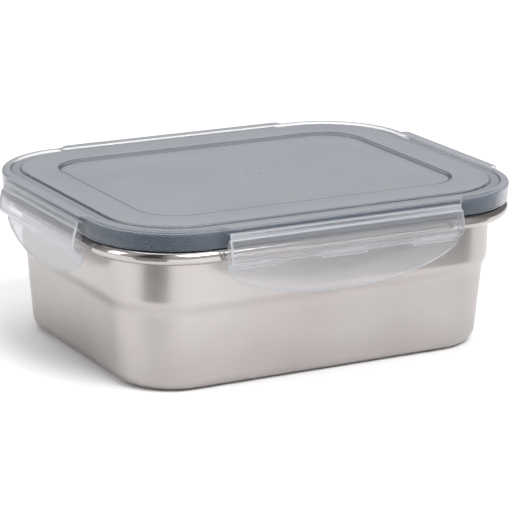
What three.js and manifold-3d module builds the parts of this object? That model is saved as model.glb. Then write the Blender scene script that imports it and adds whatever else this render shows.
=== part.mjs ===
// A rectangular stainless-steel lunch box with a plastic lid held by four latches.
//
// The container is one deep-drawn steel tray: a stamped floor, a stacking step part way up the wall, a flange and
// a rolled edge. The lid is a polypropylene moulding with a channel under its rim for a silicone gasket. A latch
// hangs from a ledge on each side of the lid by a thin living hinge, and closes over the rolled edge.
//
// Millimetres, +Z up. The origin is under the middle of the box, on the surface it stands on. X runs along the
// long sides and the front faces -Y.
import * as THREE from "three";
import { mergeVertices } from "three/addons/utils/BufferGeometryUtils.js";
import Module from "manifold-3d";

const wasm = await Module();
wasm.setup();

// ---- driving dimensions ------------------------------------------------------------------------------------------
const LENGTH = 202; // over the lid's skirt, along X
const WIDTH = 158.5; // over the lid's skirt, along Y
const CORNER = 39.5; // plan radius of the lid's corners
const CORNER_STEPS = 8; // facets in each rounded corner

const STEEL = 0.6; // sheet thickness of the container
const FLOOR_RADIUS = 6.5; // between floor and wall, outside
const STEP_Z = 38.8; // top of the stacking step
const RIM_Z = 64.8; // top of the rolled edge

const LID_TOP = 74; // the lid's bead and the flat border round its panel, the highest points of the box
const PANEL_Z = LID_TOP - 1.4; // recessed panel in the middle of the lid
const PANEL_CORNER = 18; // its plan radius
const SKIRT_Z = 65.4; // lower edge of the lid's skirt
const LEDGE_OUT = 3.1; // how far a latch's ledge stands out of the skirt
const LEDGE_Z = 71.6; // underside of the ledge

const LATCH_TOP = 69.4;
const LONG_TAB_LOW = 41.2; // lowest points of the latches' finger tabs
const SHORT_TAB_LOW = 43.4;
const LONG_LATCH = 113; // latches on the long sides
const SHORT_LATCH = 76; // latches on the short sides
const SHOULDER_Z = 57.4; // where the latch's bulge steps in to the finger tab
const TAB_INSET = 0.4; // the tab is this much shorter than the bulge at each end
const END_WALL = 0.9; // thickness of the walls that close the bulge at the latch's ends
const HOOKS = 3; // hook ribs on each latch, as long as the gaps between them
const HINGE_OUT = 3.6; // the living hinge's place outside the skirt
const GAP = 0.3; // between parts that touch on the real box

// ---- colours -----------------------------------------------------------------------------------------------------
const steel = new THREE.MeshStandardMaterial({ color: 0xb9b5b2, metalness: 1, roughness: 0.38 });
const lidPlastic = new THREE.MeshStandardMaterial({ color: 0xa6a9af, metalness: 0, roughness: 0.3 });
const latchPlastic = new THREE.MeshStandardMaterial({ color: 0xc3c5cb, metalness: 0, roughness: 0.35 });
const silicone = new THREE.MeshStandardMaterial({ color: 0x4b5a6c, metalness: 0, roughness: 0.6 });

// ---- shapes ------------------------------------------------------------------------------------------------------

// One level of a loft: the lid's rounded outline, moved in by `inset`, at height z, counterclockwise from above.
function outline([inset, z, radius = CORNER - inset]) {
  const x = LENGTH / 2 - inset - radius;
  const y = WIDTH / 2 - inset - radius;
  const middles = [
    [x, y],
    [-x, y],
    [-x, -y],
    [x, -y],
  ];
  return middles.flatMap(([middleX, middleY], corner) =>
    Array.from({ length: CORNER_STEPS + 1 }, (_, i) => {
      const angle = (corner + i / CORNER_STEPS) * (Math.PI / 2);
      return [middleX + radius * Math.cos(angle), middleY + radius * Math.sin(angle), z];
    }),
  );
}

// A solid lofted through [inset, z] levels, each with the plan radius of its corners if that differs. A ring's levels
// close on themselves, counterclockwise in section. Any other loft starts at the underside's middle and ends at the
// top side's middle.
function loft(levels, isRing) {
  const rings = levels.map(outline);
  const count = rings[0].length;
  const points = rings.flat();
  const faces = [];
  const last = isRing ? levels.length : levels.length - 1;
  for (let level = 0; level < last; level++) {
    const low = level * count;
    const high = ((level + 1) % levels.length) * count;
    for (let i = 0; i < count; i++) {
      const j = (i + 1) % count;
      faces.push(low + i, low + j, high + j, low + i, high + j, high + i);
    }
  }
  if (!isRing) {
    const under = points.push([0, 0, levels[0][1]]) - 1;
    const over = points.push([0, 0, levels.at(-1)[1]]) - 1;
    const top = (levels.length - 1) * count;
    for (let i = 0; i < count; i++) {
      const j = (i + 1) % count;
      faces.push(under, j, i, over, top + i, top + j);
    }
  }
  const geometry = new THREE.BufferGeometry();
  geometry.setAttribute("position", new THREE.Float32BufferAttribute(points.flat(), 3));
  geometry.setIndex(faces);
  return geometry;
}

// Points on a circular arc in a section, from one angle to another in degrees. Inset grows to the right.
function arc(inset, z, radius, from, to, steps) {
  return Array.from({ length: steps + 1 }, (_, i) => {
    const angle = THREE.MathUtils.degToRad(from + ((to - from) * i) / steps);
    return [inset + radius * Math.cos(angle), z + radius * Math.sin(angle)];
  });
}

// A section of [out, z] points swept along X, centred on x. `out` is the distance outside the skirt, towards -Y.
function sweep(section, length, x = 0) {
  const shape = new THREE.Shape(section.map(([out, z]) => new THREE.Vector2(-out, z)));
  const geometry = new THREE.ExtrudeGeometry(shape, { depth: length, bevelEnabled: false });
  const toX = new THREE.Matrix4().makeBasis(
    new THREE.Vector3(0, 1, 0),
    new THREE.Vector3(0, 0, 1),
    new THREE.Vector3(1, 0, 0),
  );
  return geometry.applyMatrix4(toX).translate(x - length / 2, 0, 0);
}

// An upright outline of [x, z] points, made thick along Y from y = 5 inwards to `depth` outwards.
function plate(points, depth) {
  const shape = new THREE.Shape(points.map(([x, z]) => new THREE.Vector2(x, z)));
  const geometry = new THREE.ExtrudeGeometry(shape, { depth, bevelEnabled: false });
  const toY = new THREE.Matrix4().makeBasis(
    new THREE.Vector3(1, 0, 0),
    new THREE.Vector3(0, 0, 1),
    new THREE.Vector3(0, -1, 0),
  );
  return geometry.applyMatrix4(toY).translate(0, 5, 0);
}

function solidOf(geometry) {
  const bare = geometry.clone();
  bare.deleteAttribute("normal");
  bare.deleteAttribute("uv");
  const merged = mergeVertices(bare, 1e-4);
  return new wasm.Manifold(
    new wasm.Mesh({
      numProp: 3,
      vertProperties: merged.attributes.position.array,
      triVerts: new Uint32Array(merged.index.array),
    }),
  );
}

function geometryOf(solid) {
  const mesh = solid.getMesh();
  const geometry = new THREE.BufferGeometry();
  geometry.setAttribute("position", new THREE.BufferAttribute(mesh.vertProperties, 3));
  geometry.setIndex(new THREE.BufferAttribute(mesh.triVerts, 1));
  return geometry;
}

function piece(name, geometry, material) {
  const mesh = new THREE.Mesh(geometry, material);
  mesh.name = name;
  return mesh;
}

// ---- the four sides ----------------------------------------------------------------------------------------------
// Each side is described as if it were the front: length along X, and out towards -Y from the skirt at y = 0.
const sides = [
  { name: "front", latch: LONG_LATCH, tabLow: LONG_TAB_LOW, distance: WIDTH / 2, turn: 0 },
  { name: "right", latch: SHORT_LATCH, tabLow: SHORT_TAB_LOW, distance: LENGTH / 2, turn: Math.PI / 2 },
  { name: "back", latch: LONG_LATCH, tabLow: LONG_TAB_LOW, distance: WIDTH / 2, turn: Math.PI },
  { name: "left", latch: SHORT_LATCH, tabLow: SHORT_TAB_LOW, distance: LENGTH / 2, turn: -Math.PI / 2 },
];

function place(object, side) {
  object.rotation.z = side.turn;
  object.position.set(side.distance * Math.sin(side.turn), -side.distance * Math.cos(side.turn), 0);
  object.updateMatrix();
  return object;
}

// ---- the steel container -----------------------------------------------------------------------------------------
function container() {
  const footRecess = 0.8; // the middle of the floor is stamped up by this
  const footInset = 31; // from the skirt's outline to the inner edge of the foot
  const wallLow = 13.3; // insets of the wall's outside, from bottom to top
  const wallBelowStep = 10.8;
  const wallAboveStep = 8.8;
  const wallTop = 8.6;
  const stepDrop = 2.6;
  const rollRadius = 3;
  const roll = { inset: rollRadius + 0.1, z: RIM_Z - rollRadius, radius: rollRadius - STEEL / 2 };

  const floorCurve = (radius) => arc(wallLow + FLOOR_RADIUS, FLOOR_RADIUS, radius, -90, -180, 5);
  const outside = [
    [footInset + footRecess, footRecess],
    [footInset, 0],
    ...floorCurve(FLOOR_RADIUS),
    [wallBelowStep + 0.1, STEP_Z - stepDrop - 0.7],
    [wallBelowStep - 0.4, STEP_Z - stepDrop + 0.4],
    [wallAboveStep + 0.5, STEP_Z - 0.6],
    [wallAboveStep, STEP_Z + 0.7],
    [wallTop, RIM_Z - 4],
    [wallTop - 0.3, RIM_Z - 2.2],
    [wallTop - 1.2, RIM_Z - 1.1],
    [wallTop - 2.6, RIM_Z - 0.75],
  ];
  const underRoll = arc(roll.inset, roll.z, roll.radius - STEEL / 2, 90, 300, 8);
  const overRoll = arc(roll.inset, roll.z, roll.radius + STEEL / 2, 300, 90, 10);
  const inside = [
    [wallTop - 2.6, RIM_Z - 0.15],
    [wallTop - 0.9, RIM_Z - 0.5],
    [wallTop + 0.3, RIM_Z - 1.8],
    [wallTop + STEEL, RIM_Z - 4],
    [wallAboveStep + STEEL, STEP_Z + 0.5],
    [wallAboveStep + STEEL + 0.5, STEP_Z - 0.9],
    [wallBelowStep + STEEL - 0.4, STEP_Z - stepDrop + 0.1],
    [wallBelowStep + STEEL + 0.1, STEP_Z - stepDrop - 0.9],
    ...floorCurve(FLOOR_RADIUS - STEEL).reverse(),
    [footInset, STEEL],
    [footInset + footRecess, footRecess + STEEL],
  ];
  return loft([...outside, ...underRoll, ...overRoll, ...inside], false);
}

// ---- the lid -----------------------------------------------------------------------------------------------------
function lidShell() {
  const levels = [
    [26.8, 71.2, PANEL_CORNER - 2.4], // under the panel
    [25.3, 72.4, PANEL_CORNER - 0.9],
    [11.6, 72.4], // under the border, out to the plug wall that goes inside the mouth
    [11.3, 71.6],
    [11.2, 62.3],
    [10.9, 61.9],
    [10.4, 61.9],
    [10.1, 62.3],
    [10.0, 71.8], // the gasket's channel
    [9.7, 72.1],
    [2.1, 72.1],
    [1.8, 71.8],
    [1.6, SKIRT_Z + 0.2],
    [1.4, SKIRT_Z],
    [0.5, SKIRT_Z],
    [0.3, SKIRT_Z + 0.2],
    [0, 72.2], // the skirt's outside
    [0.1, 72.8],
    [0.6, 73.5],
    [1.6, LID_TOP], // the bead
    [3.4, LID_TOP],
    [4.0, LID_TOP - 0.3],
    [4.3, LID_TOP - 0.9], // the groove inside the bead
    [8.6, LID_TOP - 0.9],
    [8.9, LID_TOP - 0.2],
    [9.4, LID_TOP],
    [24.4, LID_TOP, PANEL_CORNER],
    [24.8, LID_TOP - 0.2, PANEL_CORNER - 0.4],
    [25.5, PANEL_Z + 0.2, PANEL_CORNER - 1.1],
    [26.0, PANEL_Z, PANEL_CORNER - 1.6],
  ];
  return loft(levels, false);
}

// A ledge that carries a latch's hinge, with a rounded outer edge and rounded ends.
function ledge(side) {
  const end = 0.6; // how far it reaches past the latch
  const half = side.latch / 2 + end;
  const section = [
    [-1.2, LEDGE_Z],
    [LEDGE_OUT - 0.3, LEDGE_Z],
    [LEDGE_OUT, LEDGE_Z + 0.3],
    [LEDGE_OUT, LID_TOP - 1.1],
    [LEDGE_OUT - 0.4, LID_TOP - 0.4],
    [LEDGE_OUT - 1.2, LID_TOP],
    [-2.8, LID_TOP],
    [-2.8, LEDGE_Z + 0.8],
  ];
  const radius = 2.8;
  const plan = new THREE.Shape();
  plan.moveTo(-half, 4);
  plan.lineTo(-half, -LEDGE_OUT + radius);
  plan.absarc(-half + radius, -LEDGE_OUT + radius, radius, Math.PI, 1.5 * Math.PI);
  plan.lineTo(half - radius, -LEDGE_OUT);
  plan.absarc(half - radius, -LEDGE_OUT + radius, radius, 1.5 * Math.PI, 2 * Math.PI);
  plan.lineTo(half, 4);
  const ends = new THREE.ExtrudeGeometry(plan, { depth: 100, bevelEnabled: false, curveSegments: 5 });
  const bar = solidOf(sweep(section, 2 * half)).intersect(solidOf(ends));
  return geometryOf(bar);
}

function lid() {
  let solid = solidOf(lidShell());
  for (const side of sides) {
    const bar = place(new THREE.Mesh(ledge(side)), side);
    solid = solid.add(solidOf(bar.geometry.applyMatrix4(bar.matrix)));
  }
  const dimple = new THREE.CylinderGeometry(4.2, 3.4, 1.2, 20).rotateX(Math.PI / 2);
  dimple.translate(0, 0, PANEL_Z + 0.2);
  return geometryOf(solid.subtract(solidOf(dimple)));
}

// ---- the gasket --------------------------------------------------------------------------------------------------
// A silicone ring with two lips on its underside, which seal on the flange and on the rolled edge.
function gasket() {
  const top = 71.8;
  const outerLip = RIM_Z + GAP;
  const innerLip = RIM_Z - 0.1;
  return loft(
    [
      [2.0, outerLip + 0.5],
      [2.1, top - 0.4],
      [2.6, top],
      [9.2, top],
      [9.6, top - 0.4],
      [9.6, innerLip + 0.6],
      [8.6, innerLip],
      [7.7, innerLip + 0.5],
      [7.2, 67.3],
      [4.4, 67.3],
      [3.9, outerLip + 0.5],
      [2.9, outerLip],
    ],
    true,
  );
}

// ---- the latches -------------------------------------------------------------------------------------------------
// The latch's section: it bulges over the rolled edge, steps in under it and ends in a finger tab.
const latchSection = (tabLow) => [
  [2.9, LATCH_TOP],
  [3.1, 68.8],
  [3.9, 66.4],
  [4.4, 63.4],
  [4.5, 61.8],
  [4.3, 60.6],
  [3.7, 59.7],
  [2.7, 59.0],
  [1.3, 58.4],
  [0.6, 57.6],
  [0.4, 56.4],
  [0.4, 50],
  [0.6, 46.5],
  [1.1, tabLow],
  [2.3, tabLow],
  [1.9, 46.5],
  [1.7, 50],
  [1.7, 55.8],
  [2.0, 56.8],
  [3.1, SHOULDER_Z],
  [4.6, 58.3],
  [5.4, 59.4],
  [5.8, 60.7],
  [5.9, 62],
  [5.7, 63.9],
  [5.2, 66.6],
  [4.4, 68.9],
  [3.9, LATCH_TOP],
];

const hookSection = [
  [0.9, 58.2],
  [0.2, 58.2],
  [0.2, 56.9],
  [0.6, 55.2],
  [0.9, 55.2],
];

// The walls at the latch's ends, from the bulge back to a line just clear of the lid's skirt.
const endWallSection = [
  [1.2, 58],
  [3.3, 57.9],
  [5, 59.4],
  [5.3, 61.9],
  [4.9, 65],
  [3.6, 68.9],
  [2.1, 68.9],
  [1.2, 66.4],
];

// The latch's outline seen from the front: square at the top, and a bowed finger tab below the shoulder.
function latchOutline(length, tabLow) {
  const half = length / 2;
  const tab = half - TAB_INSET;
  const round = 2.4;
  const tabStart = SHOULDER_Z - 2.2; // the tab's ends are upright as far as this
  const steps = 24;
  const points = [
    [half, LATCH_TOP + 1],
    [-half, LATCH_TOP + 1],
    [-half, SHOULDER_Z + round],
    [-half + 0.3, SHOULDER_Z + 0.8],
    [-tab, SHOULDER_Z],
  ];
  for (let i = 0; i <= steps; i++) {
    const x = -Math.cos((Math.PI * i) / steps);
    const drop = Math.pow(1 - Math.pow(Math.abs(x), 2.1), 1 / 1.5);
    points.push([x * tab, tabStart - (tabStart - tabLow - 0.1) * drop]);
  }
  points.push([tab, SHOULDER_Z], [half - 0.3, SHOULDER_Z + 0.8], [half, SHOULDER_Z + round]);
  return points;
}

function latch(length, tabLow) {
  const pitch = (length - 4 * TAB_INSET) / (2 * HOOKS - 1);
  let solid = solidOf(sweep(latchSection(tabLow), length));
  for (let i = 0; i < HOOKS; i++) {
    const x = (i - (HOOKS - 1) / 2) * 2 * pitch;
    solid = solid.add(solidOf(sweep(hookSection, pitch, x)));
  }
  for (const end of [-1, 1]) {
    solid = solid.add(solidOf(sweep(endWallSection, END_WALL, (end * (length - END_WALL)) / 2)));
  }
  return geometryOf(solid.intersect(solidOf(plate(latchOutline(length, tabLow), 20))));
}

// The living hinge: a thin bowed web from the ledge's lower edge to the top of the latch.
function hingeWeb(length) {
  const low = LATCH_TOP + GAP;
  const high = LEDGE_Z - GAP;
  const middle = (low + high) / 2;
  return sweep(
    [
      [HINGE_OUT - 0.75, high],
      [HINGE_OUT - 0.3, middle],
      [HINGE_OUT - 0.45, low],
      [HINGE_OUT, low],
      [HINGE_OUT + 0.15, middle],
      [HINGE_OUT - 0.3, high],
    ],
    length - 1,
  );
}

// ---- the assembly ------------------------------------------------------------------------------------------------
const lunchBox = new THREE.Group();
lunchBox.add(piece("container", container(), steel));
lunchBox.add(piece("lid", lid(), lidPlastic));
lunchBox.add(piece("gasket", gasket(), silicone));
for (const side of sides) {
  const group = place(new THREE.Group(), side);
  group.add(piece(`${side.name}_latch`, latch(side.latch, side.tabLow), latchPlastic));
  group.add(piece(`${side.name}_hinge_web`, hingeWeb(side.latch), latchPlastic));
  lunchBox.add(group);
}

export default lunchBox;
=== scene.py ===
# A steel lunch box with a translucent plastic lid, a silicone gasket and four hinged latches.
#
# Lengths are in metres, apart from the points of a section, which are in millimetres until they are
# rounded or smoothed. Insets are measured inwards from the outline of the lid's skirt, and `out` is the same
# distance measured outwards. The driving sizes come from the frame, and the sections are drawn round them.
import math

import bpy
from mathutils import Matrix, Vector


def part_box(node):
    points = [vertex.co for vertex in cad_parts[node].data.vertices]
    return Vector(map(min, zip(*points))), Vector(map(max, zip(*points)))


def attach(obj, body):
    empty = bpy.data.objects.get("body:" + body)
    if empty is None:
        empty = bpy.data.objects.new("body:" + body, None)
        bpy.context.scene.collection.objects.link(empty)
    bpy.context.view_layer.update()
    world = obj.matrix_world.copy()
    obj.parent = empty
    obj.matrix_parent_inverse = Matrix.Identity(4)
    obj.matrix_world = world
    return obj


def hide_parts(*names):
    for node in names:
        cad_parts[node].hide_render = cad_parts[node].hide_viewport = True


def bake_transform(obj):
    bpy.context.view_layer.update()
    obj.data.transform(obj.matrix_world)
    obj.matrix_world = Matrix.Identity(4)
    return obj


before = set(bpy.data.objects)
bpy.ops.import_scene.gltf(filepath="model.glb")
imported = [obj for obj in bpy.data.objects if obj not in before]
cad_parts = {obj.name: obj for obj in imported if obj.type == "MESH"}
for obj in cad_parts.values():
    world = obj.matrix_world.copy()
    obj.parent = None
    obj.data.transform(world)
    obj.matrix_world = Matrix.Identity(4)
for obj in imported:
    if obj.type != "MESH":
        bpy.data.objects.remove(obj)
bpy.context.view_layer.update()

MM = 0.001

# ---- sizes from the frame ------------------------------------------------------------------------
lid_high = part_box("lid")[1]
container_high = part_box("container")[1]
front_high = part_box("front_latch")[1]
left_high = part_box("left_latch")[1]

LEDGE_OUT = 3.1 * MM  # how far the latches' ledges stand out of the skirt
LEDGE_PAST_LATCH = 0.6 * MM  # how far a ledge reaches past each end of its latch
LEDGE_END_RADIUS = 2.8 * MM
HALF_LENGTH = lid_high.x - LEDGE_OUT
HALF_WIDTH = lid_high.y - LEDGE_OUT
CORNER = 39.5 * MM  # plan radius of the skirt
LID_TOP = lid_high.z
SKIRT_Z = 65.4 * MM  # the skirt's lower edge
RIM_Z = container_high.z
STEEL = 0.6 * MM  # thickness of the sheet
LATCH_TOP = front_high.z
LATCH_THICKNESS = 1.35 * MM
LATCH_EDGE_RADIUS = 0.65 * MM
LONG_HALF = front_high.x  # half a latch's length
SHORT_HALF = left_high.y
PANEL_CORNER = 18 * MM  # plan radius of the lid's recessed panel
LEAST_CORNER = 2 * MM
MIDDLE_INSET = 60  # in millimetres: where the sections of the container and the lid end
CORNER_STEPS = 28
EDGE_GLOW = 1.3 * MM  # how far in from its edge a latch looks milkier

# each side's outward normal, direction along it, distance from the middle and half its latch's length
SIDES = {
    "front": (Vector((0, -1, 0)), Vector((1, 0, 0)), HALF_WIDTH, LONG_HALF),
    "right": (Vector((1, 0, 0)), Vector((0, 1, 0)), HALF_LENGTH, SHORT_HALF),
    "back": (Vector((0, 1, 0)), Vector((-1, 0, 0)), HALF_WIDTH, LONG_HALF),
    "left": (Vector((-1, 0, 0)), Vector((0, -1, 0)), HALF_LENGTH, SHORT_HALF),
}
TAB_LOW = {side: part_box(f"{side}_latch")[0].z for side in SIDES}


# ---- sections ------------------------------------------------------------------------------------
def fillet(points, radius, steps=4):
    """The same open polyline, in millimetres, with each inner corner rounded. Returns metres."""
    most = 0.45  # the largest share of a neighbouring stretch that a rounding takes
    rounded = [Vector(points[0])]
    for before, corner, after in zip(points, points[1:], points[2:]):
        corner = Vector(corner)
        to_before, to_after = Vector(before) - corner, Vector(after) - corner
        reach = min(radius, most * to_before.length, most * to_after.length)
        start = corner + to_before.normalized() * reach
        end = corner + to_after.normalized() * reach
        for i in range(steps + 1):
            t = i / steps
            rounded.append(start * (1 - t) ** 2 + corner * 2 * t * (1 - t) + end * t * t)
    rounded.append(Vector(points[-1]))
    return [point * MM for point in rounded]


def arc(inset, z, radius, start, end, steps):
    """Points on a circular arc in a section, in millimetres, with angles in degrees."""
    angles = [math.radians(start + (end - start) * i / steps) for i in range(steps + 1)]
    return [(inset + radius * math.cos(a), z + radius * math.sin(a)) for a in angles]


def spline(points, steps):
    """A smooth curve through points in millimetres, by Catmull-Rom. Returns metres."""
    points = [Vector(p) for p in points]
    padded = [2 * points[0] - points[1], *points, 2 * points[-1] - points[-2]]
    curve = []
    for a, b, c, d in zip(padded, padded[1:], padded[2:], padded[3:]):
        for i in range(steps):
            t = i / steps
            square = (2 * a - 5 * b + 4 * c - d) * t**2
            cube = (3 * b - a - 3 * c + d) * t**3
            curve.append(0.5 * (2 * b + (c - a) * t + square + cube))
    curve.append(points[-1])
    return [point * MM for point in curve]


# ---- mesh building -------------------------------------------------------------------------------
def make_object(name, vertices, faces, material):
    mesh = bpy.data.meshes.new(name)
    mesh.from_pydata([tuple(v) for v in vertices], [], faces)
    mesh.validate()
    mesh.shade_smooth()
    mesh.materials.append(material)
    obj = bpy.data.objects.new(name, mesh)
    bpy.context.scene.collection.objects.link(obj)
    return obj


def side_stations(half, ledge_half):
    """Places along a straight side, as fractions of its half length, and the share of the ledge at each."""
    steps = 8
    ends = []
    for i in range(steps + 1):
        angle = math.pi / 2 * i / steps
        place = ledge_half - LEDGE_END_RADIUS + LEDGE_END_RADIUS * math.sin(angle)
        ends.append((place / half, max(0.0, math.cos(angle))))
    return [(-place, weight) for place, weight in reversed(ends)] + ends


def outline(inset, radius=None):
    """Plan points, outward normals and ledge weights round the box, moved in by inset."""
    if radius is None:
        radius = max(CORNER - inset, LEAST_CORNER)
    plan = []
    for name, (normal, along, distance, latch_half) in SIDES.items():
        reach = HALF_LENGTH if name in ("front", "back") else HALF_WIDTH
        half = reach - inset - radius
        for place, weight in side_stations(reach - CORNER, latch_half + LEDGE_PAST_LATCH):
            plan.append((normal * (distance - inset) + along * (place * half), normal, weight))
        middle = normal * (distance - inset - radius) + along * half
        for i in range(CORNER_STEPS + 1):
            angle = math.pi / 2 * i / CORNER_STEPS
            direction = normal * math.cos(angle) + along * math.sin(angle)
            plan.append((middle + direction * radius, direction, 0.0))
    return plan


def loft(name, section, material, ledge_section=None, ring=False, radii=None, dimple=()):
    """Sweeps an (inset, z) section round the box. Where a ledge is, the section becomes ledge_section.

    A dimple ends the section with circles of (radius, z) in the middle. Each vertex keeps its inset, in
    millimetres, for the material.
    """
    ledge_section = ledge_section or section
    radii = radii or [None] * len(section)
    vertices = []
    insets = []
    for (inset, z), (ledge_inset, ledge_z), radius in zip(section, ledge_section, radii):
        for point, normal, weight in outline(inset, radius):
            place = point + normal * (inset - ledge_inset) * weight
            vertices.append(Vector((place.x, place.y, z + (ledge_z - z) * weight)))
            insets.append((inset + (ledge_inset - inset) * weight) / MM)
    count = len(vertices) // len(section)
    last_level = vertices[-count:]
    for radius, z in dimple:
        for point in last_level:
            outward = Vector((point.x, point.y, 0)).normalized()
            vertices.append(outward * radius + Vector((0, 0, z)))
            insets.append((HALF_WIDTH - radius) / MM)
    levels = len(section) + len(dimple)
    faces = []
    for level in range(levels if ring else levels - 1):
        low, high = level * count, (level + 1) % levels * count
        for i in range(count):
            j = (i + 1) % count
            faces.append((low + i, low + j, high + j, high + i))
    if not ring:
        faces.append(tuple(reversed(range(count))))
        faces.append(tuple(range((levels - 1) * count, levels * count)))
    piece = make_object(name, vertices, faces, material)
    piece.data.attributes.new("inset", "FLOAT", "POINT").data.foreach_set("value", insets)
    return piece


def shell(name, columns, path_at, side, thickness, edge_radius, material):
    """A sheet with rounded edges. path_at(x) gives the (out, z) points of its middle surface at a column.

    Each vertex keeps how near it is to an edge, for the material: 1 on the edge, 0 from EDGE_GLOW inwards.
    """
    normal, along, distance, _ = SIDES[side]
    least_fullness = 0.12  # the share of its thickness that the sheet keeps right at its edge
    paths = [path_at(x) for x in columns]
    rows = len(paths[0])
    outer, inner, nearness = [], [], []
    for column, (x, path) in enumerate(zip(columns, paths)):
        lengths = [0.0]
        for a, b in zip(path, path[1:]):
            lengths.append(lengths[-1] + (b - a).length)
        for row, point in enumerate(path):
            before, after = path[max(row - 1, 0)], path[min(row + 1, rows - 1)]
            tangent = (after - before).normalized()
            across = Vector((-tangent.y, tangent.x))
            edge = min(lengths[row], lengths[-1] - lengths[row], x - columns[0], columns[-1] - x)
            fullness = math.sqrt(max(0.0, 1 - (1 - min(edge / edge_radius, 1)) ** 2))
            half = thickness / 2 * max(fullness, least_fullness)
            nearness.append(max(0.0, 1 - edge / EDGE_GLOW))
            for target, sign in ((outer, 1), (inner, -1)):
                place = point + across * (sign * half)
                target.append(normal * (distance + place.x) + along * x + Vector((0, 0, place.y)))
    vertices = outer + inner
    faces = []
    offset = len(outer)
    last = len(columns) - 1
    for column in range(last):
        for row in range(rows - 1):
            a = column * rows + row
            b = a + rows
            faces.append((a, a + 1, b + 1, b))
            faces.append((offset + a, offset + b, offset + b + 1, offset + a + 1))
        top, bottom = column * rows, column * rows + rows - 1
        faces.append((top, top + rows, offset + top + rows, offset + top))
        faces.append((bottom, offset + bottom, offset + bottom + rows, bottom + rows))
    for row in range(rows - 1):
        a, b = row, last * rows + row
        faces.append((a, offset + a, offset + a + 1, a + 1))
        faces.append((b, b + 1, offset + b + 1, offset + b))
    piece = make_object(name, vertices, faces, material)
    piece.data.attributes.new("edge", "FLOAT", "POINT").data.foreach_set("value", nearness * 2)
    return piece


# ---- materials -----------------------------------------------------------------------------------
def new_material(name):
    """A material with its node tree, its shader and the object's own coordinates."""
    material = bpy.data.materials.new(name)
    material.use_nodes = True
    tree = material.node_tree
    shader = tree.nodes["Principled BSDF"]
    coordinates = tree.nodes.new("ShaderNodeTexCoord")
    return material, tree, shader, coordinates.outputs["Object"]


def noise(tree, place, scale, detail, stretch=(1, 1, 1)):
    """Seeded noise in the object's own space. scale is in features per metre."""
    mapping = tree.nodes.new("ShaderNodeMapping")
    mapping.inputs["Scale"].default_value = stretch
    tree.links.new(place, mapping.inputs["Vector"])
    texture = tree.nodes.new("ShaderNodeTexNoise")
    texture.inputs["Scale"].default_value = scale
    texture.inputs["Detail"].default_value = detail
    tree.links.new(mapping.outputs["Vector"], texture.inputs["Vector"])
    return texture.outputs["Fac"]


def ramp(tree, factor, stops):
    """Maps a factor to colours or greys at the given stops."""
    node = tree.nodes.new("ShaderNodeValToRGB")
    elements = node.color_ramp.elements
    for element, (position, colour) in zip(elements, stops[:1] + stops[-1:]):
        element.position = position
        element.color = (*colour, 1)
    for position, colour in stops[1:-1]:
        elements.new(position).color = (*colour, 1)
    tree.links.new(factor, node.inputs["Fac"])
    return node.outputs["Color"]


def grey(value):
    """A colour with no hue."""
    return (value, value, value)


def bump(tree, shader, height, strength, distance):
    """Lets a height raise and lower the surface in the shading only."""
    node = tree.nodes.new("ShaderNodeBump")
    node.inputs["Strength"].default_value = strength
    node.inputs["Distance"].default_value = distance
    tree.links.new(height, node.inputs["Height"])
    tree.links.new(node.outputs["Normal"], shader.inputs["Normal"])


def steel_material():
    """Satin stainless steel: a fine polishing grain round the wall, and cloudy patches from handling."""
    material, tree, shader, place = new_material("satin_steel")
    shader.inputs["Metallic"].default_value = 1.0
    grain = noise(tree, place, scale=900, detail=3, stretch=(0.06, 0.06, 1.6))
    clouds = noise(tree, place, scale=22, detail=5)
    tint = ramp(tree, clouds, [(0.3, (0.4, 0.37, 0.362)), (0.7, (0.46, 0.432, 0.425))])
    tree.links.new(tint, shader.inputs["Base Color"])
    separate = tree.nodes.new("ShaderNodeSeparateXYZ")
    tree.links.new(place, separate.inputs["Vector"])
    height = tree.nodes.new("ShaderNodeMapRange")
    height.inputs["From Max"].default_value = RIM_Z
    tree.links.new(separate.outputs["Z"], height.inputs["Value"])
    # roughness at shares of the height: most at the foot, less above the step, least on the rolled edge
    levels = [(0, 0.38), (0.48, 0.36), (0.62, 0.31), (0.88, 0.28), (0.93, 0.1)]
    polish = ramp(tree, height.outputs["Result"], [(at, grey(roughness)) for at, roughness in levels])
    add = tree.nodes.new("ShaderNodeMath")
    add.operation = "ADD"
    tree.links.new(ramp(tree, grain, [(0.3, grey(0.0)), (0.7, grey(0.03))]), add.inputs[0])
    tree.links.new(polish, add.inputs[1])
    tree.links.new(add.outputs["Value"], shader.inputs["Roughness"])
    bump(tree, shader, grain, strength=0.03, distance=0.1 * MM)
    return material


def shaded_at_grooves(tree, colour, shade_stops):
    """The colour multiplied by painted shade that depends on the vertex's inset: darker lines where the
    grooves and the panel's wall would lie in shade.
    """
    inset = tree.nodes.new("ShaderNodeAttribute")
    inset.attribute_name = "inset"
    scaled = tree.nodes.new("ShaderNodeMapRange")
    scaled.inputs["From Max"].default_value = GROOVE_SPAN
    tree.links.new(inset.outputs["Fac"], scaled.inputs["Value"])
    stops = [(at / GROOVE_SPAN, tone) for at, tone in shade_stops]
    shade = tree.nodes.new("ShaderNodeMix")
    shade.data_type = "RGBA"
    shade.blend_type = "MULTIPLY"
    shade.inputs["Factor"].default_value = 1.0
    tree.links.new(colour, shade.inputs["A"])
    tree.links.new(ramp(tree, scaled.outputs["Result"], stops), shade.inputs["B"])
    return shade.outputs["Result"]


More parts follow.
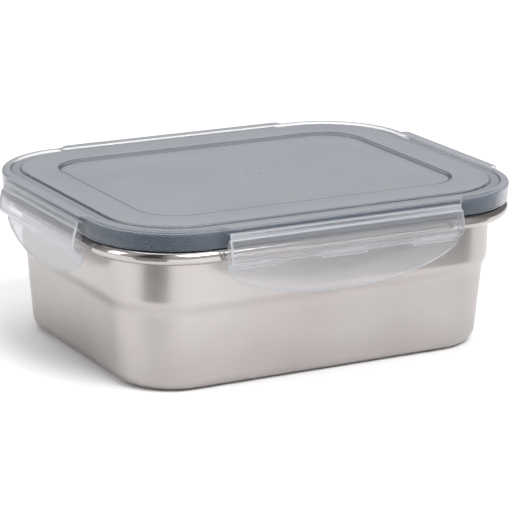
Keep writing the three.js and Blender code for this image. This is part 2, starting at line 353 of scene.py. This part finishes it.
def milkiness(tree, density):
    """Opacity that rises at a slant, as density says at each of SLANTS, and towards the edge of a sheet."""
    slant = tree.nodes.new("ShaderNodeLayerWeight")
    slant.inputs["Blend"].default_value = 0.5
    opacity = [(at, grey(value)) for at, value in zip(SLANTS, density)]
    edge = tree.nodes.new("ShaderNodeAttribute")
    edge.attribute_name = "edge"
    denser = tree.nodes.new("ShaderNodeMath")
    denser.operation = "MAXIMUM"
    tree.links.new(ramp(tree, slant.outputs["Facing"], opacity), denser.inputs[0])
    at_edge = ramp(tree, edge.outputs["Fac"], [(0.0, grey(0.0)), (1.0, grey(EDGE_OPACITY))])
    tree.links.new(at_edge, denser.inputs[1])
    return denser.outputs["Value"]


def plastic_material(name, light, dark, roughness, density, shade_stops=()):
    """Milky polypropylene with faint flow marks, denser at a slant, where more of it is in the way.

    shade_stops are the insets and tones of the shade painted into the grooves and at the panel's wall.
    """
    material, tree, shader, place = new_material(name)
    shader.inputs["IOR"].default_value = 1.49
    flow = noise(tree, place, scale=26, detail=4, stretch=(1, 1, 2))
    frost = noise(tree, place, scale=1500, detail=2)
    colour = ramp(tree, flow, [(0.3, dark), (0.7, light)])
    if shade_stops:
        # painted shade in the lid's grooves and at its panel's wall
        colour = shaded_at_grooves(tree, colour, shade_stops)
    tree.links.new(colour, shader.inputs["Base Color"])
    rough = ramp(tree, flow, [(0.3, grey(roughness * 0.8)), (0.7, grey(roughness * 1.2))])
    tree.links.new(rough, shader.inputs["Roughness"])
    tree.links.new(milkiness(tree, density), shader.inputs["Alpha"])
    bump(tree, shader, frost, strength=0.012, distance=0.05 * MM)
    return material


def silicone_material():
    """Matte slate-blue silicone with a fine dusty skin."""
    material, tree, shader, place = new_material("silicone")
    dust = noise(tree, place, scale=700, detail=3)
    tint = ramp(tree, dust, [(0.35, (0.02, 0.042, 0.078)), (0.7, (0.032, 0.06, 0.104))])
    tree.links.new(tint, shader.inputs["Base Color"])
    tree.links.new(ramp(tree, dust, [(0.3, grey(0.45)), (0.7, grey(0.65))]), shader.inputs["Roughness"])
    shader.inputs["Specular IOR Level"].default_value = 0.25
    bump(tree, shader, dust, strength=0.1, distance=0.1 * MM)
    return material


def stage_material(name, tone):
    """An even grey for what stands round the object."""
    material, _, shader, _ = new_material(name)
    shader.inputs["Base Color"].default_value = (*grey(tone), 1)
    shader.inputs["Roughness"].default_value = 0.6
    return material


SLANTS = (0.0, 0.5, 0.72, 1.0)  # 0 is seen square on and 1 edge on
EDGE_OPACITY = 0.9  # of a sheet, right at its edge
GROOVE_SPAN = 30.0  # the largest inset with a tone of its own, in millimetres
# painted shade: the next two tones darken the walls of the grooves and of the panel's recess, and the
# groove's floor a little
PAINTED_DARK_LINE = (0.3, 0.32, 0.35)
PAINTED_GROOVE_FLOOR = (0.85, 0.86, 0.88)
PLAIN = (1, 1, 1)
# painted shade: the groove round the edge is darkened at its two walls and a little on its floor, where the
# dark gasket behind would show, and the last dark line is painted shade at the panel's wall
GROOVE_SHADE_STOPS = [
    (0, PLAIN),
    (3.5, PLAIN),
    (4.2, PAINTED_DARK_LINE),
    (4.9, PAINTED_GROOVE_FLOOR),
    (7.8, PAINTED_GROOVE_FLOOR),
    (8.5, PAINTED_DARK_LINE),
    (9.1, PLAIN),
    (23.8, PLAIN),
    (24.3, PAINTED_DARK_LINE),
    (25.2, PAINTED_DARK_LINE),
    (25.5, PLAIN),
    (GROOVE_SPAN, PLAIN),
]
STEEL_LOOK = steel_material()
LID_LOOK = plastic_material(
    "lid_plastic",
    light=(0.272, 0.284, 0.308),
    dark=(0.25, 0.262, 0.286),
    roughness=0.12,
    density=(0.1, 0.26, 0.92, 0.98),
    shade_stops=GROOVE_SHADE_STOPS,
)
LATCH_LOOK = plastic_material(
    "latch_plastic",
    light=(0.48, 0.49, 0.52),
    dark=(0.44, 0.45, 0.48),
    roughness=0.14,
    density=(0.15, 0.24, 0.7, 0.97),
)
# painted highlight: the ribs are the latches' plastic made lighter and denser, so that their ends show as
# bright marks through the latch
RIB_HIGHLIT_LOOK = plastic_material(
    "rib_plastic_highlit",
    light=(0.66, 0.67, 0.7),
    dark=(0.6, 0.61, 0.64),
    roughness=0.1,
    density=(0.42, 0.5, 0.8, 0.98),
)
SILICONE_LOOK = silicone_material()


# ---- the steel container -------------------------------------------------------------------------
def build_container():
    """One drawn sheet: its outer face from the floor to the rolled edge, and its inner face back down."""
    rim = RIM_Z / MM
    sheet = STEEL / MM
    step = 38.8  # height of the step's top
    drop = 2.6  # height of the step
    # insets of the outer face, from the foot upwards
    foot = 31.0
    low = 13.3
    below = 10.8
    above = 8.8
    top = 8.6
    recess = 0.8  # how far the floor is raised inside the foot
    floor_radius = 6.5
    roll_radius = 3.0
    roll = (roll_radius + 0.1, rim - roll_radius)
    curve = arc(low + floor_radius, floor_radius, floor_radius, -90, -180, 10)
    inner_curve = arc(low + floor_radius, floor_radius, floor_radius - sheet, -180, -90, 10)
    outside = [
        (MIDDLE_INSET, recess),
        (foot + 1.6, recess),
        (foot, 0),
        *curve,
        (below + 0.1, step - drop - 2.6),
        (below - 0.3, step - drop - 0.6),
        (above + 0.4, step + 0.2),
        (above, step + 2.2),
        (top, rim - 4),
        (top - 0.3, rim - 2.2),
        (top - 1.2, rim - 1.1),
        (top - 2.6, rim - 0.75),
    ]
    inside = [
        (top - 2.6, rim - 0.15),
        (top - 0.9, rim - 0.5),
        (top + 0.3, rim - 1.8),
        (top + sheet, rim - 4),
        (above + sheet, step + 2.0),
        (above + sheet + 0.4, step),
        (below + sheet - 0.3, step - drop - 0.9),
        (below + sheet + 0.1, step - drop - 2.8),
        *inner_curve,
        (foot, sheet),
        (foot + 1.6, recess + sheet),
        (MIDDLE_INSET, recess + sheet),
    ]
    under_roll = arc(*roll, roll_radius - sheet, 90, 300, 20)
    over_roll = arc(*roll, roll_radius, 300, 90, 26)
    rounding = 1.0
    section = fillet(outside + under_roll + over_roll + inside, rounding)
    piece = loft("container_body", section, STEEL_LOOK)
    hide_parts("container")
    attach(piece, "container")


# ---- the lid -------------------------------------------------------------------------------------
def build_lid():
    """One moulding: its inner face from the middle to the skirt's lower edge, and its outer face back."""
    top = LID_TOP / MM
    skirt = SKIRT_Z / MM
    out = LEDGE_OUT / MM
    panel = PANEL_CORNER / MM
    least = LEAST_CORNER / MM
    floor = top - 1.4  # the recessed panel
    # each row is (inset, z, ledge inset, ledge z, plan radius), and None means the plain one
    rows = [
        (MIDDLE_INSET, top - 2.8, None, None, least),
        (26.8, top - 2.8, None, None, panel - 2.4),
        (25.3, top - 1.6, None, None, panel - 0.9),
        (11.6, top - 1.6, None, None, None),
        (11.3, top - 2.4, None, None, None),
        (11.2, 62.3, None, None, None),
        (10.9, 61.9, None, None, None),
        (10.4, 61.9, None, None, None),
        (10.1, 62.3, None, None, None),
        (10.0, 71.8, None, None, None),
        (9.7, 72.1, None, None, None),
        (2.1, 72.1, None, None, None),
        (1.8, 71.8, None, None, None),
        (1.6, skirt + 0.3, None, None, None),
        (1.3, skirt, None, None, None),
        (0.6, skirt, None, None, None),
        (0.3, skirt + 0.4, None, None, None),
        (0.05, 70.9, 0.05, 71.0, None),
        (0.05, 71.3, 0.0, 71.5, None),
        (0.03, 71.6, 0.4 - out, 71.5, None),
        (0.02, 71.9, -out, 71.9, None),
        (0.0, 72.2, -out, 72.9, None),
        (0.1, 72.8, 0.4 - out, 73.6, None),
        (0.6, 73.5, 1.2 - out, top, None),
        (1.6, top, 1.6, top, None),
        (3.4, top, None, None, None),
        (4.0, top - 0.3, None, None, None),
        (4.3, top - 0.9, None, None, None),
        (8.6, top - 0.9, None, None, None),
        (8.9, top - 0.2, None, None, None),
        (9.4, top, None, None, None),
        (24.6, top, None, None, panel),
        (24.9, top - 0.2, None, None, panel - 0.3),
        (25.2, floor + 0.2, None, None, panel - 0.6),
        (25.6, floor, None, None, panel - 1.0),
        (MIDDLE_INSET, floor, None, None, least),
    ]
    plain = [(inset, z) for inset, z, *_ in rows]
    ledge = [(inset if i is None else i, z if h is None else h) for inset, z, i, h, _ in rows]
    rounding = 0.6
    steps = 3
    section = fillet(plain, rounding, steps)
    ledge_section = fillet(ledge, rounding, steps)
    radii = []
    for i, (*_, radius) in enumerate(rows):
        points_here = 1 if i in (0, len(rows) - 1) else steps + 1
        radii += [None if radius is None else radius * MM] * points_here
    # radius and depth of flat circles round the dimple, then of its slope and its floor
    hollow = [
        (9.0, 0),
        (5.0, 0),
        (4.3, 0),
        (4.0, 0.04),
        (3.7, 0.2),
        (3.4, 0.36),
        (3.1, 0.4),
        (2.6, 0.4),
        (0.4, 0.4),
    ]
    dimple = [(radius * MM, (floor - depth) * MM) for radius, depth in hollow]
    piece = loft("lid_shell", section, LID_LOOK, ledge_section, radii=radii, dimple=dimple)
    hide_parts("lid")
    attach(piece, "lid")


# ---- the gasket ----------------------------------------------------------------------------------
def build_gasket():
    """A ring with a lip just above the rolled edge and a longer one inside it."""
    outer_lip = RIM_Z / MM + 0.3
    inner_lip = RIM_Z / MM - 0.1
    between_lips = 67.3
    top = 71.8
    points = [
        (2.0, outer_lip + 0.5),
        (2.1, top - 0.4),
        (2.6, top),
        (9.2, top),
        (9.6, top - 0.4),
        (9.6, inner_lip + 0.6),
        (8.6, inner_lip),
        (7.7, inner_lip + 0.5),
        (7.2, between_lips),
        (4.4, between_lips),
        (3.9, outer_lip + 0.5),
        (2.9, outer_lip),
    ]
    rounding = 0.5
    # the first two points come again so that the ring closes, and the slice drops the doubled ends
    section = fillet([*points, points[0], points[1]], rounding)[1:-5]
    piece = loft("gasket_ring", section, SILICONE_LOOK, ring=True)
    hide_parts("gasket")
    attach(piece, "lid")


# ---- the latches ---------------------------------------------------------------------------------
SHOULDER_Z = 57.3 * MM  # the bulge ends and the finger tab starts
TAB_START = 55.2 * MM  # the tab's ends are upright as far as this
TAB_INSET = 0.4 * MM  # how far each end of the tab stands in from the bulge's end
TAB_BOW = 2.1  # exponents of the tab's lower edge: the larger they are, the squarer its ends
TAB_SQUARENESS = 1.5
BULGE_CORNER = 2.4 * MM  # how far the bulge's lower corners are rounded upwards
# the middle surface of the bulge, as (out, z) in millimetres
BULGE = [
    (3.4, LATCH_TOP / MM),
    (3.75, 68.8),
    (4.55, 66.4),
    (5.05, 63.6),
    (5.2, 61.9),
    (5.05, 60.6),
    (4.4, 59.5),
    (3.3, 58.7),
    (2.1, 58.1),
    (1.35, 57.2),
]


def latch_columns(half):
    """Places along a latch, close together at its ends."""
    close = [0, 0.1, 0.25, 0.45, 0.7, 0.85, 0.95, 1, 1.05, 1.15, 1.3, 1.6, 2, 2.6, 3.4, 4.4, 5.8, 7.6]
    between = 24
    ends = [half - c * MM for c in close]
    inner = [ends[-1] * i / between for i in range(between)]
    positive = inner + ends[::-1]
    return [-x for x in reversed(positive[1:])] + positive


def lower_edge(x, half, low):
    """Height of the latch's lower edge: a rounded end on the bulge, then the finger tab's bow."""
    tab = half - TAB_INSET
    if abs(x) <= tab:
        return TAB_START - (TAB_START - low) * (1 - (abs(x) / tab) ** TAB_BOW) ** (1 / TAB_SQUARENESS)
    beyond = (abs(x) - tab) / TAB_INSET
    return SHOULDER_Z + BULGE_CORNER * (1 - math.sqrt(max(0.0, 1 - beyond**2)))


def latch_path(half, low):
    """The latch's middle surface at a place along it: the bulge, then the tab down to its lower edge."""
    bulge = spline(BULGE, 4)
    corner_z = 61 * MM  # a rounded corner pulls the bulge's points up from as high as this
    # how far out the tab is, and what its shoulder and its lower edge's flare add to that, in millimetres
    tab_out = 1.05
    shoulder = 0.3
    flare = 0.65
    shoulder_fade = 12
    tab_rows = 16

    def out_at(z):
        if z >= bulge[-1].y:
            for a, b in zip(bulge, bulge[1:]):
                if b.y <= z <= a.y:
                    return b.x + (a.x - b.x) * (z - b.y) / (a.y - b.y)
            return bulge[0].x
        drop = (SHOULDER_Z - z) / (SHOULDER_Z - low)
        return (tab_out + shoulder * math.exp(-drop * shoulder_fade) + flare * drop**3) * MM

    def path(x):
        edge = lower_edge(x, half, low)
        points = []
        for point in bulge:
            z = point.y
            if edge > SHOULDER_Z and z < corner_z:
                z = edge + (z - SHOULDER_Z) * (corner_z - edge) / (corner_z - SHOULDER_Z)
            points.append(Vector((out_at(z), z)))
        start = points[-1].y
        edge = min(edge, start - 0.1 * MM)
        for i in range(1, tab_rows + 1):
            z = start + (edge - start) * i / tab_rows
            points.append(Vector((out_at(z), z)))
        return points

    return path


def build_latch(side):
    """The bulge over the rolled edge and the finger tab below it."""
    *_, half = SIDES[side]
    name = f"{side}_latch"
    path = latch_path(half, TAB_LOW[side])
    columns = latch_columns(half)
    flap = shell(f"{side}_flap", columns, path, side, LATCH_THICKNESS, LATCH_EDGE_RADIUS, LATCH_LOOK)
    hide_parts(name)
    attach(flap, name)


def build_end_walls(side):
    """A thin wall that closes the bulge at each end of the latch."""
    normal, along, distance, half = SIDES[side]
    low = 58.6 * MM
    high = 68.9 * MM
    # the wall's inner edge, which slopes outwards above slope_z
    back = 1.3 * MM
    back_at_top = 2.2 * MM
    slope_z = 66.5 * MM
    bulge = [point for point in spline(BULGE, 4) if low < point.y < high]
    section = bulge + [
        Vector((back, bulge[-1].y)),
        Vector((back, slope_z)),
        Vector((back_at_top, bulge[0].y)),
    ]
    middle = sum(section, Vector((0, 0))) / len(section)
    # the depth from the latch's end, and how far the wall's rounded rim is pulled in there, in millimetres
    levels = [(0.1, 0.25), (0.22, 0.05), (0.4, 0), (0.85, 0), (1.03, 0.05), (1.15, 0.25)]
    for end, sign in ((1, -1), (2, 1)):
        vertices = []
        for depth, pull in levels:
            x = sign * (half - depth * MM)
            for point in section:
                place = point + (middle - point).normalized() * pull * MM
                vertices.append(normal * (distance + place.x) + along * x + Vector((0, 0, place.y)))
        count = len(section)
        last = (len(levels) - 1) * count
        faces = [tuple(range(count)), tuple(reversed(range(last, last + count)))]
        for start in range(0, last, count):
            for i in range(count):
                j = (i + 1) % count
                faces.append((start + i, start + count + i, start + count + j, start + j))
        wall = make_object(f"{side}_end_wall_{end}", vertices, faces, LATCH_LOOK)
        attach(wall, f"{side}_latch")


def build_hook_ribs(side):
    """Three ribs inside the latch. They stop just outside the rolled edge, which real ones hook under."""
    *_, half = SIDES[side]
    length = 2 * (half - 2 * TAB_INSET) / 5  # three ribs with two spaces as long between them
    thickness = 0.6 * MM
    section = spline([(0.75, 58.1), (0.45, 57.6), (0.4, 57.0), (0.6, 56.2), (0.75, 55.4)], 4)
    close = [c * MM for c in (0, 0.15, 0.4, 0.8, 1.4)]
    for i in range(3):
        middle = (i - 1) * 2 * length
        start = middle - length / 2
        end = middle + length / 2
        columns = [start + c for c in close] + [end - c for c in reversed(close)]
        name = f"{side}_hook_{i + 1}"
        # the ribs wear the lighter plastic, a painted highlight
        rib = shell(name, columns, lambda x: section, side, thickness, thickness / 2, RIB_HIGHLIT_LOOK)
        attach(rib, f"{side}_latch")


def build_hinge_web(side):
    """The thin web that bends when the latch opens, from the ledge's lower edge to the top of the latch."""
    normal, _, distance, latch_half = SIDES[side]
    half = latch_half - 0.5 * MM
    thickness = 0.45 * MM
    edge_radius = 0.2 * MM
    path = spline([(2.75, 71.75), (2.85, 71.2), (3.05, 70.5), (3.3, 69.9), (3.45, 69.25)], 4)
    columns = [-half, -half + 0.2 * MM, -half + 0.6 * MM, 0, half - 0.6 * MM, half - 0.2 * MM, half]
    web = shell(f"{side}_living_hinge", columns, lambda x: path, side, thickness, edge_radius, LATCH_LOOK)
    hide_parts(f"{side}_hinge_web")
    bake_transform(web)


# ---- the stage -----------------------------------------------------------------------------------
def build_floor():
    """A wide pale floor, just under the object."""
    half = 6.0
    corners = [(-half, -half, 0), (half, -half, 0), (half, half, 0), (-half, half, 0)]
    floor = make_object("floor", corners, [(0, 1, 2, 3)], stage_material("pale_floor", tone=0.93))
    floor.location.z = -0.02 * MM


def flag(name, reflected_in, azimuth, distance, width, height):
    """A grey card on the floor, at an azimuth from the point that reflects it. Only reflections see it."""
    a = math.radians(azimuth)
    middle = Vector(reflected_in) + Vector((math.sin(a), -math.cos(a), 0)) * distance
    half = Vector((math.cos(a), math.sin(a), 0)) * width / 2
    up = Vector((0, 0, height))
    corners = [middle - half, middle + half, middle + half + up, middle - half + up]
    card = make_object(name, corners, [(0, 1, 2, 3)], stage_material(name, tone=0.5))
    for ray in ("camera", "diffuse", "transmission", "volume_scatter", "shadow"):
        setattr(card, f"visible_{ray}", False)


def build_flags():
    """The cards that make the darker strips in the steel, at the near corner and on the front."""
    near_corner = (CORNER - HALF_LENGTH, CORNER - HALF_WIDTH, 0)
    front_right = (0.6 * HALF_LENGTH, -HALF_WIDTH, 0)
    flag("corner_flag", near_corner, azimuth=-48, distance=105 * MM, width=66 * MM, height=75 * MM)
    flag("front_flag", front_right, azimuth=33, distance=90 * MM, width=150 * MM, height=70 * MM)


def direction(azimuth, elevation):
    """A unit vector, from angles in degrees. Azimuth 0 is in front of the box, and 90 is to its right."""
    a = math.radians(azimuth)
    e = math.radians(elevation)
    return Vector((math.sin(a) * math.cos(e), -math.cos(a) * math.cos(e), math.sin(e)))


def softbox(name, azimuth, elevation, distance, width, height, power):
    """A soft light that shines on the box from a direction."""
    light = bpy.data.lights.new(name, "AREA")
    light.shape = "RECTANGLE"
    light.size = width
    light.size_y = height
    light.energy = power
    lamp = bpy.data.objects.new(name, light)
    lamp.visible_camera = False
    bpy.context.scene.collection.objects.link(lamp)
    lamp.location = direction(azimuth, elevation) * distance
    target = Vector((0, 0, 30 * MM))
    lamp.rotation_euler = (target - lamp.location).to_track_quat("-Z", "Y").to_euler()


def build_world():
    """Soft surroundings, brighter in front and to the left, and dim between those and behind."""
    world = bpy.data.worlds.new("studio")
    bpy.context.scene.world = world
    world.use_nodes = True
    tree = world.node_tree
    coordinates = tree.nodes.new("ShaderNodeTexCoord")
    around = tree.nodes.new("ShaderNodeTexGradient")
    around.gradient_type = "RADIAL"
    tree.links.new(coordinates.outputs["Generated"], around.inputs["Vector"])
    # 0 and 1 are to the left of the box, 0.25 is in front, 0.5 to the right and 0.75 behind
    stops = [
        (0.0, 1.0),
        (0.03, 0.9),
        (0.07, 0.12),
        (0.13, 0.12),
        (0.18, 1.0),
        (0.34, 1.0),
        (0.44, 0.4),
        (0.7, 0.3),
        (0.86, 0.35),
        (0.95, 0.8),
        (1.0, 1.0),
    ]
    colour = ramp(tree, around.outputs["Fac"], [(place, grey(value)) for place, value in stops])
    background = tree.nodes["Background"]
    tree.links.new(colour, background.inputs["Color"])
    background.inputs["Strength"].default_value = 0.75


def build_lights():
    softbox("key_front_right", azimuth=12, elevation=52, distance=1.5, width=0.9, height=0.7, power=19)
    softbox("fill_left", azimuth=-98, elevation=26, distance=1.4, width=0.4, height=0.8, power=5)
    softbox("top", azimuth=160, elevation=72, distance=1.6, width=1.4, height=1.4, power=18)


def build_camera():
    """A long lens, a little above the box and in front of its left corner."""
    back = direction(azimuth=-28.86, elevation=15.76)
    distance = 1.1945
    roll = math.radians(0.73)
    target = Vector((0, -2.4 * MM, 35.5 * MM))
    lens = bpy.data.cameras.new("camera")
    lens.lens = 188.0
    lens.sensor_width = 36.0
    camera = bpy.data.objects.new("camera", lens)
    bpy.context.scene.collection.objects.link(camera)
    camera.location = target + back * distance
    camera.rotation_euler = back.to_track_quat("Z", "Y").to_matrix().to_euler()
    camera.rotation_euler.rotate_axis("Z", roll)
    bpy.context.scene.camera = camera


bpy.context.scene.view_settings.view_transform = "Standard"
build_camera()
build_floor()
build_world()
build_lights()
build_flags()
build_container()
build_lid()
build_gasket()
for side in SIDES:
    build_latch(side)
    build_end_walls(side)
    build_hook_ribs(side)
    build_hinge_web(side)
